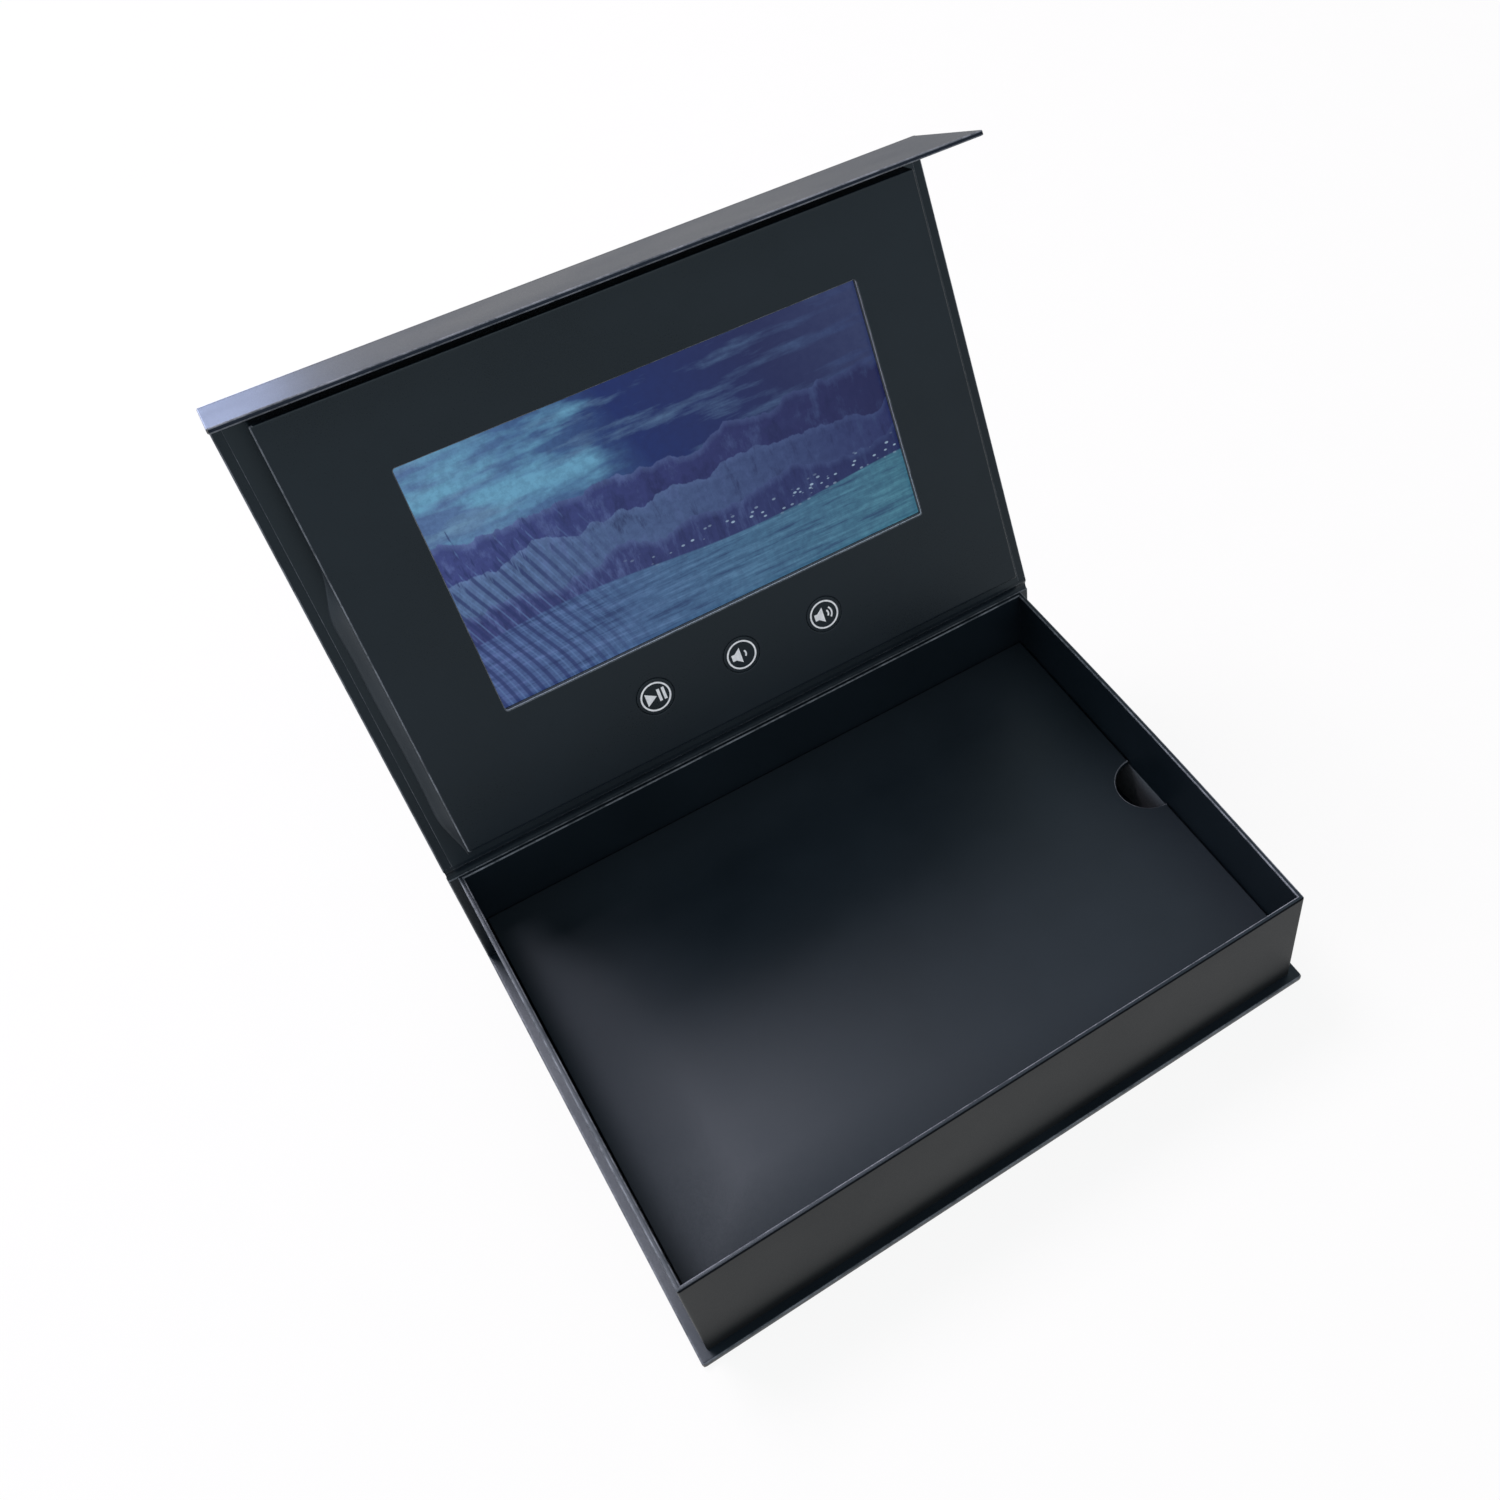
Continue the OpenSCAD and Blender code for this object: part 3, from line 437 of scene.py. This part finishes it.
class Shape:
    """Points and faces in millimetres, made into one object at the end."""

    def __init__(self):
        self.points, self.faces, self.mats = [], [], []

    def add(self, loop):
        start = len(self.points)
        self.points += [tuple(map(float, p)) for p in loop]
        return list(range(start, start + len(loop)))

    def loft(self, loops, mats=0, start_cap=None, end_cap=None, join=False):
        """Joins closed loops of equally many points; mats is one material or one for each band."""
        ids = [self.add(l) for l in loops]
        if join:
            ids.append(ids[0])
        n = len(loops[0])
        for k in range(len(ids) - 1):
            a, b = ids[k], ids[k + 1]
            m = mats if isinstance(mats, int) else mats[k]
            for j in range(n):
                i = (j + 1) % n
                self.faces.append((a[j], a[i], b[i], b[j]))
                self.mats.append(m)
        if start_cap is not None:
            self.faces.append(tuple(reversed(ids[0])))
            self.mats.append(start_cap)
        if end_cap is not None:
            self.faces.append(tuple(ids[-1]))
            self.mats.append(end_cap)
        return ids

    def fill(self, loops, mat=0):
        """A flat face with holes between loops that are already points of the shape."""
        polys = [[Vector(self.points[i]) for i in l] for l in loops]
        flat = [i for l in loops for i in l]
        for tri in tessellate_polygon(polys):
            self.faces.append(tuple(flat[i] for i in tri))
            self.mats.append(mat)

    def build(self, name, place, materials, sharp=38):
        mesh = bpy.data.meshes.new(name)
        mesh.from_pydata([tuple(p) for p in place(np.array(self.points))], [], self.faces)
        for m in materials:
            mesh.materials.append(M[m])
        mesh.polygons.foreach_set("material_index", self.mats)
        bm = bmesh.new()
        bm.from_mesh(mesh)
        bmesh.ops.remove_doubles(bm, verts=bm.verts, dist=1e-7)
        bmesh.ops.recalc_face_normals(bm, faces=bm.faces)
        bm.to_mesh(mesh)
        bm.free()
        mesh.shade_smooth()
        mesh.set_sharp_from_angle(angle=math.radians(sharp))
        o = bpy.data.objects.new(name, mesh)
        bpy.context.scene.collection.objects.link(o)
        return o


def ring(box, o=0.0, rp=0.8, nc=4, ns=1, sup=0.5):
    """A rectangle set in by o, with round corners, the same number of points for every o.

    rp is the corner radius, nc the steps in a corner, ns those along a side, and sup the distance
    of the points that hold the corner's shape."""
    x0, x1, y0, y1 = box[0] + o, box[1] - o, box[2] + o, box[3] - o
    r = max(rp - o, 0.04)
    out = []
    centres = ((x1 - r, y0 + r, -90), (x1 - r, y1 - r, 0), (x0 + r, y1 - r, 90), (x0 + r, y0 + r, 180))
    corners = []
    for cx, cy, a0 in centres:
        angles = [math.radians(a0 + 90 * k / nc) for k in range(nc + 1)]
        corners.append([(cx + r * math.cos(a), cy + r * math.sin(a)) for a in angles])
    for k in range(4):
        out += corners[k]
        a, b = np.array(corners[k][-1]), np.array(corners[(k + 1) % 4][0])
        length = np.linalg.norm(b - a)
        steps = [sup / length] + [j / ns for j in range(1, ns)] + [1 - sup / length]
        out += [tuple(a + (b - a) * s) for s in steps]
    return out


def arc(o0, z0, o1, z1, n=3):
    """Quarter round from (o0, z0) to (o1, z1), rising along z first."""
    pts = []
    for k in range(n + 1):
        a = math.pi / 2 * k / n
        pts.append((o0 + (o1 - o0) * (1 - math.cos(a)), z0 + (z1 - z0) * math.sin(a)))
    return pts


def profile(z0, z1, re, sup=0.4):
    """Side of a slab with round edges: (inset, height) and a flag for each band."""
    low = [(re + sup, z0)] + [(o, z) for o, z in reversed(arc(0, z0 + re, re, z0))]
    high = arc(0, z1 - re, re, z1) + [(re + sup, z1)]
    near = min(sup, (z1 - z0) * 0.2)
    pts = low + [(0, z0 + re + near), (0, z1 - re - near)] + high
    bands = [0] + [1] * 3 + [0, 0, 0] + [1] * 3 + [0]
    return pts, bands


def slab(name, place, box, z0, z1, kind="outer", re=0.45, rp=0.9):
    """A board in its paper: re is the radius of its edges and rp that of its corners."""
    s = Shape()
    pts, bands = profile(z0, z1, re)
    s.loft([[(x, y, z) for x, y in ring(box, o, rp)] for o, z in pts], bands, 0, 0)
    folds = {"lid_sheet": "inner_fold", "flap_paper": "outer_fold"}
    return s.build(name, place, [kind, folds.get(kind, kind + "_fold")])


def put(o, body, slot_name, *nodes):
    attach(o, body)
    if nodes:
        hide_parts(*nodes)
    return o


# Base, spine, lid and flap boards in their paper
def spine_place(p):
    """Stands a slab up: its second coordinate becomes the height."""
    p = np.asarray(p, float)
    return np.stack([p[:, 0], p[:, 2], p[:, 1]], 1) * 0.001


put(slab("base_cover", tray_place, (-HALF, HALF, *BASE_Y), 0.0, BOARD_TOP, rp=1.1),
    "tray", "black_paper", "base_wrap", "base_lining")
put(slab("spine_cover", spine_place, (-HALF, HALF, 2.52, RIM), *SPINE_Y, re=0.4, rp=0.5),
    "tray", "black_paper", "spine_wrap", "spine_board")
put(slab("lid_cover", lid_place, (-HALF, HALF, 1.1, LID_END), 0.0, 2.40, rp=0.9),
    "lid", "black_paper", "lid_wrap")
put(slab("lid_inner_sheet", lid_place,
         (-HALF + LINING_INSET, HALF - LINING_INSET, 1.3, LID_END - 2.2),
         2.3, BOARD_TOP, "lid_sheet", re=0.08, rp=0.3),
    "lid", "inner_paper", "lid_lining")
put(slab("flap_cover", flap_place, (-HALF, HALF, 1.1, FLAP_END), 0.0, 1.62, "flap_paper", rp=1.0, re=0.42),
    "flap", "black_paper", "flap_wrap")
put(slab("flap_inner_sheet", flap_place,
         (-HALF + LINING_INSET, HALF - LINING_INSET, 1.3, FLAP_END - 3.0),
         1.54, 1.7, "inner", re=0.06, rp=0.3),
    "flap", "inner_paper", "flap_lining")


# Tray walls: one sheet up the outside, over the rim and down the inside
def tray_bow(x, y, z):
    """The long side walls bow out a little at mid-length, more at the rim."""
    front, back = TRAY[2:]
    t = math.sin(math.pi * min(1, max(0, (y - front) / (back - front))))
    h = max(0, (z - BOARD_TOP) / (RIM - BOARD_TOP))
    side = max(0.0, min(1.0, (abs(x) - 100) / 10))
    amount = 0.8 if x > 0 else 0.15
    return (x + math.copysign(amount * t * h * side, x), y, z)


def tray_cover():
    s = Shape()
    re, t, z0, z1 = 0.42, WALL, BOARD_TOP, RIM
    pts = [(0, z0), (0, z0 + 0.5), (0, z1 - re - 0.4)] + arc(0, z1 - re, re, z1)
    pts += [(t - o, z) for o, z in reversed(arc(0, z1 - re, re, z1))]
    pts += [(t, z1 - re - 0.4), (t, 23.2), (t, z0 + 0.5), (t, z0)]
    # outside paper, fold, rim, fold, inside paper, then bare board under the raised floor, lighter than
    # the paper to lift the shade seen through the thumb notch: bare board in part, painted light in part
    bands = [2, 2, 2, 1, 1, 1, 0, 1, 1, 1, 0, 0, 3, 3, 0]
    loops = [[tray_bow(x, y, z) for x, y in ring(TRAY, o, 0.7, ns=28)] for o, z in pts]
    s.loft(loops, bands, join=True)
    o = s.build("tray_cover", tray_place, ["inner", "inner_fold", "outside", "dark_board", "crease"])
    for f in o.data.polygons:
        # painted shade: the front rim's outer fold gets the near-black crease paper for the shadow line
        # along it
        if f.material_index == 1 and f.center.y < -0.08255 and f.center.z > 0.05:
            f.material_index = 4
    return o


put(tray_cover(), "tray", "inner_paper", "tray_wrap", "tray_right_wall", "sensor_magnet")


# The lining stands away from the panel's left side and leaves a soft fold there, in a lighter paper that
# paints the sheen along it
def side_fold():
    """A ridge along the lid: w wide and h high, eased in at both ends."""
    s = Shape()
    x0, low, high, steps = -106.52, 4.2, 116.0, 64
    loops = []
    for k in range(steps + 1):
        sp = low + 111.8 * (k / steps)
        ease = max(0.0, min(1.0, (high + 0.2 - sp) / 20, 0.12 + (sp - low) / 22))
        grow = ease * ease * (3 - 2 * ease)
        w = (3.7 + 0.9 * math.exp(-((sp - 98) / 12) ** 2) + 0.25 * math.sin(sp * 0.11)) * grow + 0.05
        h = (5.2 + 0.5 * math.sin(sp * 0.07 + 1)) * grow + 0.05
        edge = [(x0 - w * (1 - f), 2.47 + h * f ** 1.35 + 0.05) for f in np.linspace(0, 1, 9)]
        loops.append([(x, sp, d) for x, d in [(x0, 2.45), (x0 - w, 2.45)] + edge])
    s.loft(loops, 0, 0, 0)
    return s.build("lid_side_fold", lid_place, ["side_fold"], 60)


put(side_fold(), "lid", "inner_paper")


# Raised floor with its thumb notch
def platform_ring(o):
    """Outline of the raised floor set in by o, with round corners and the notch at its right side."""
    x1, y1, c, r0 = FLOOR_HALF_W - o, FLOOR_HALF_D - o, NOTCH_Y, NOTCH_R + o
    r = max(0.5 - o, 0.04)
    h = math.sqrt(r0 * r0 - o * o)

    def corner(cx, cy, a0):
        angles = [math.radians(a0 + 22.5 * k) for k in range(5)]
        return [(cx + r * math.cos(a), cy + r * math.sin(a)) for a in angles]

    out = corner(x1 - r, -y1 + r, -90)
    out += [(x1, -y1 + r + 0.5), (x1, c - h - 0.5)]
    a = math.degrees(math.asin(o / r0))
    for k in range(41):
        b = math.radians(270 - a - (180 - 2 * a) * k / 40)
        out.append((FLOOR_HALF_W + r0 * math.cos(b), c + r0 * math.sin(b)))
    out += [(x1, c + h + 0.5), (x1, y1 - r - 0.5)]
    out += corner(x1 - r, y1 - r, 0)
    out += [(x1 - r - 0.5, y1), (-x1 + r + 0.5, y1)]
    out += corner(-x1 + r, y1 - r, 90)
    out += [(-x1, y1 - r - 0.5), (-x1, -y1 + r + 0.5)]
    out += corner(-x1 + r, -y1 + r, 180)
    out += [(-x1 + r + 0.5, -y1), (x1 - r - 0.5, -y1)]
    return out


def platform_cover():
    s = Shape()
    re, z1 = 0.4, FLOOR_TOP
    pts = [(0.25, 23.75), (0, 23.75), (0, 24.1), (0, z1 - re - 0.3)] + arc(0, z1 - re, re, z1)
    pts += [(re + 0.4, z1)]
    bands = [0, 0, 0, 0, 1, 1, 1, 0]
    s.loft([[(x, y, z) for x, y in platform_ring(o)] for o, z in pts], bands, end_cap=0)
    o = s.build("platform_cover", tray_place, ["platform", "inner_fold", "crease"])
    notch = Vector((FLOOR_HALF_W, NOTCH_Y)) * 0.001
    for f in o.data.polygons:
        # only the notch's fold keeps the lighter fold paper, wear with a painted highlight; the floor's
        # other folds get the near-black crease paper, painted shade for the shadow line along the walls
        if f.material_index == 1 and (notch - f.center.xy).length > 0.0122:
            f.material_index = 2
    return o


put(platform_cover(), "platform", "inner_paper", "platform_wrap")


# Screen panel: face paper with the window and the button holes, and its four sides
def circle(cx, cy, r, n=72):
    angles = [2 * math.pi * k / n for k in range(n)]
    return [(cx + r * math.cos(a), cy + r * math.sin(a)) for a in angles]


def panel_cover():
    s = Shape()
    re, z1 = 0.42, LID_T
    pts = [(0, BOARD_TOP), (0, BOARD_TOP + 0.5), (0, z1 - re - 0.5)] + arc(0, z1 - re, re, z1)
    pts += [(re + 0.5, z1)]
    ids = s.loft([[(x, y, z) for x, y in ring(PANEL, o, 0.6)] for o, z in pts], [0, 0, 0, 1, 1, 1, 0])
    edges = [ids[-1]]
    # window lip, turned in over the board's edge
    rw = 0.28
    lip = [(-rw - 0.5, z1), (-rw, z1)] + [(-o, z) for o, z in reversed(arc(0.0, z1 - rw, rw, z1))][1:]
    lip.append((0.02, z1 - 0.75))
    bands = [0] + [1] * (len(lip) - 3) + [2]
    ids = s.loft([[(x, y, z) for x, y in ring(WINDOW, o, 0.9)] for o, z in lip], bands)
    edges.append(ids[0])
    for i in (-1, 0, 1):
        rb = 0.12
        cut = [(rb + 0.4, z1), (rb, z1)] + [(o, z) for o, z in reversed(arc(0.0, z1 - rb, rb, z1))][1:]
        cut.append((-0.02, z1 - 2.2))
        ids = s.loft([[(x, y, z) for x, y in circle(i * PITCH, BUTTON_S, 6.65 + o)] for o, z in cut], 0)
        edges.append(ids[0])
    s.fill(edges, 0)
    o = s.build("panel_cover", lid_place, ["outer", "outer_fold", "core"])
    for f in o.data.polygons:
        # of the outer folds only the left one keeps the lighter fold paper, wear with a painted highlight,
        # and the window's lip keeps its own
        x, z = f.center.x, f.center.z
        if f.material_index == 1 and x > -0.1055 and (abs(x) > 0.079 or z < 0.09 or z > 0.196):
            f.material_index = 0
    return o


put(panel_cover(), "lid", "black_paper", "face_wrap")


# Buttons
def button(i, body, node):
    s = Shape()
    radius, edge, top = 6.5, 0.16, LID_T
    pts = [(radius, 13.75), (radius, 14.2), (radius, 15.6)]
    pts += [(radius - o, z) for o, z in arc(0, top - edge, edge, top)] + [(6.1, top)]
    loops = [[(x, y, z) for x, y in circle(i * PITCH, BUTTON_S, r)] for r, z in pts]
    s.loft(loops, 0, start_cap=0, end_cap=0)
    put(s.build(node + "_cap", lid_place, ["outer"]), body, "black_paper", node)


button(-1, "play_key", "play_button")
button(0, "volume_down_key", "volume_down_button")
button(1, "volume_up_key", "volume_up_button")


# Display glass with its lit picture
def display():
    s = Shape()
    box = (-81.95, 81.95, 45.0, 143.0)
    pts, _ = profile(12.05, 13.45, 0.15, 0.3)
    s.loft([[(x, y, z) for x, y in ring(box, o, 0.6)] for o, z in pts], 0, 0, 0)
    o = s.build("display_glass", lid_place, ["screen_glass"])
    uv = o.data.uv_layers.new(name="picture")
    co = np.array([v.co for v in o.data.vertices]) * 1000 - AXIS
    px, ps = co @ X, co @ U
    for l in o.data.loops:
        k = l.vertex_index
        x0, x1, s0, s1 = WINDOW
        uv.data[l.index].uv = ((px[k] - x0) / (x1 - x0), (ps[k] - s0) / (s1 - s0))
    put(o, "lid", "screen_glass", "lcd_glass")


display()


# Paper hinges, made of one closed strip each, shaped for the open pose
def strip(name, profile_points, place, n=60):
    s = Shape()
    xs = np.linspace(-HALF + 0.25, HALF - 0.25, n + 1)
    loops = [[(x, a, b) for a, b in profile_points] for x in xs]
    s.loft(loops, 0, 0, 0)
    return s.build(name, place, ["outer"], 50)


def smooth_path(points):
    """Cuts each corner of a closed outline once."""
    p = [np.array(q, float) for q in points]
    out = []
    for k in range(len(p)):
        a, b = p[k], p[(k + 1) % len(p)]
        out += [a * 0.75 + b * 0.25, a * 0.25 + b * 0.75]
    return [tuple(q) for q in out]


def lid_yz(s, d):
    q = AXIS + s * U + (d - INSET) * N
    return (q[1], q[2])


# the lid's strip in y and z: up the spine's outside, onto the lid, and back down the inside
hinge_profile = [
    (85.27, 49.6), (85.27, 50.8), (85.2, 51.7), (84.98, 52.4), (84.95, 53.1), (85.14, 53.75),
    lid_yz(1.4, -0.02), lid_yz(3.0, -0.02), lid_yz(3.0, 2.52), lid_yz(1.5, 2.52),
    (83.72, 54.4), (84.0, 53.5), (83.8, 52.6), (83.35, 51.75), (83.15, 51.3), (83.3, 50.2),
]
lid_strip = strip("lid_hinge_paper", smooth_path(hinge_profile), tray_place)
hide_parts("lid_crease")
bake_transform(lid_strip)


def flap_sd(f, d):
    """A point of the flap, f along it and d deep, in the lid's own two coordinates."""
    return (FOLD_S + f * math.cos(FOLD) - (d - INSET) * math.sin(FOLD),
            INSET + f * math.sin(FOLD) + (d - INSET) * math.cos(FOLD))


# the flap's strip in the lid's coordinates: along the lid's outside, onto the flap, and back inside
flap_profile = [
    (165.4, -0.02), (167.1, -0.02), (168.5, 0.02), (169.7, 0.12), (170.25, 0.45), (170.45, 0.95),
    flap_sd(1.4, -0.02), flap_sd(3.0, -0.02), flap_sd(3.0, 1.66), flap_sd(1.7, 1.66),
    (168.75, 1.7), (168.3, 1.6), (167.8, 2.0), (166.9, 2.44), (165.4, 2.44),
]
flap_strip = strip("flap_hinge_paper", smooth_path(flap_profile), lid_place)
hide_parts("flap_crease")
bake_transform(flap_strip)


def seen_directly(nt):
    """1 for camera, glossy and transmission rays, which see the backdrop as white."""
    path = nt.nodes.new("ShaderNodeLightPath")
    total = path.outputs["Is Camera Ray"]
    for kind in ("Is Glossy Ray", "Is Transmission Ray"):
        m = nt.nodes.new("ShaderNodeMath")
        m.operation = "MAXIMUM"
        nt.links.new(total, m.inputs[0])
        nt.links.new(path.outputs[kind], m.inputs[1])
        total = m.outputs[0]
    return total


# Floor: pale paper that the camera sees as white, with the object's shadow on it
def floor():
    bpy.ops.mesh.primitive_plane_add(size=8, location=(0, 0, -0.0002))
    o = bpy.context.object
    o.name = "floor"
    t = Tree("floor_paper")
    n = t.noise(40, 3, 0.5)
    t.set(Base_Color=t.ramp(n, [(0.3, (0.62, 0.61, 0.60)), (0.7, (0.64, 0.63, 0.62))]))
    t.set(Roughness=0.9, Specular_IOR_Level=0.1)
    emit = t.node("Emission")
    emit.inputs[0].default_value = (1, 1, 1, 1)
    emit.inputs[1].default_value = 1.0
    mix = t.node("MixShader")
    t.link(t.math("MULTIPLY", seen_directly(t.nt), 0.9), mix.inputs[0])
    t.link(t.bsdf.outputs[0], mix.inputs[1])
    t.link(emit.outputs[0], mix.inputs[2])
    t.link(mix.outputs[0], t.out.inputs["Surface"])
    o.data.materials.append(t.mat)


floor()


def area(name, loc, target, size, power, colour):
    d = bpy.data.lights.new(name, "AREA")
    d.energy = power
    d.color = colour
    d.shape = "RECTANGLE"
    d.size = d.size_y = size
    o = bpy.data.objects.new(name, d)
    o.location = loc
    o.rotation_euler = (Vector(target) - Vector(loc)).to_track_quat("-Z", "Y").to_euler()
    bpy.context.scene.collection.objects.link(o)


# Soft studio light; low_back is the glow on the flap's left end
area("back_top", (-0.42, 1.2, 2.0), (0, -0.05, 0.05), 0.95, 58, (1.0, 0.87, 0.97))
area("left", (-1.5, 0.3, 0.9), (0, 0, 0.08), 1.0, 9, (0.78, 0.9, 1.0))
area("front", (0.3, -1.6, 1.4), (0, 0, 0.05), 1.4, 11, (0.9, 0.96, 1.0))
area("low_back", (-0.22, 0.66, 0.08), (-0.11, 0.14, 0.22), 0.3, 1.15, (0.46, 0.58, 1.0))

# World: pale grey for the light it gives, near white where it is seen
world = bpy.data.worlds.new("world")
bpy.context.scene.world = world
world.use_nodes = True
nt = world.node_tree
bg = nt.nodes["Background"]
bg.inputs[0].default_value = (0.8, 0.84, 0.9, 1)
bg.inputs[1].default_value = 0.5
white = nt.nodes.new("ShaderNodeBackground")
white.inputs[0].default_value = (0.90, 0.96, 1.0, 1)
white.inputs[1].default_value = 0.92
pick = nt.nodes.new("ShaderNodeMixShader")
nt.links.new(seen_directly(nt), pick.inputs[0])
nt.links.new(bg.outputs[0], pick.inputs[1])
nt.links.new(white.outputs[0], pick.inputs[2])
nt.links.new(pick.outputs[0], nt.nodes["World Output"].inputs["Surface"])

bpy.context.scene.view_settings.view_transform = "Standard"
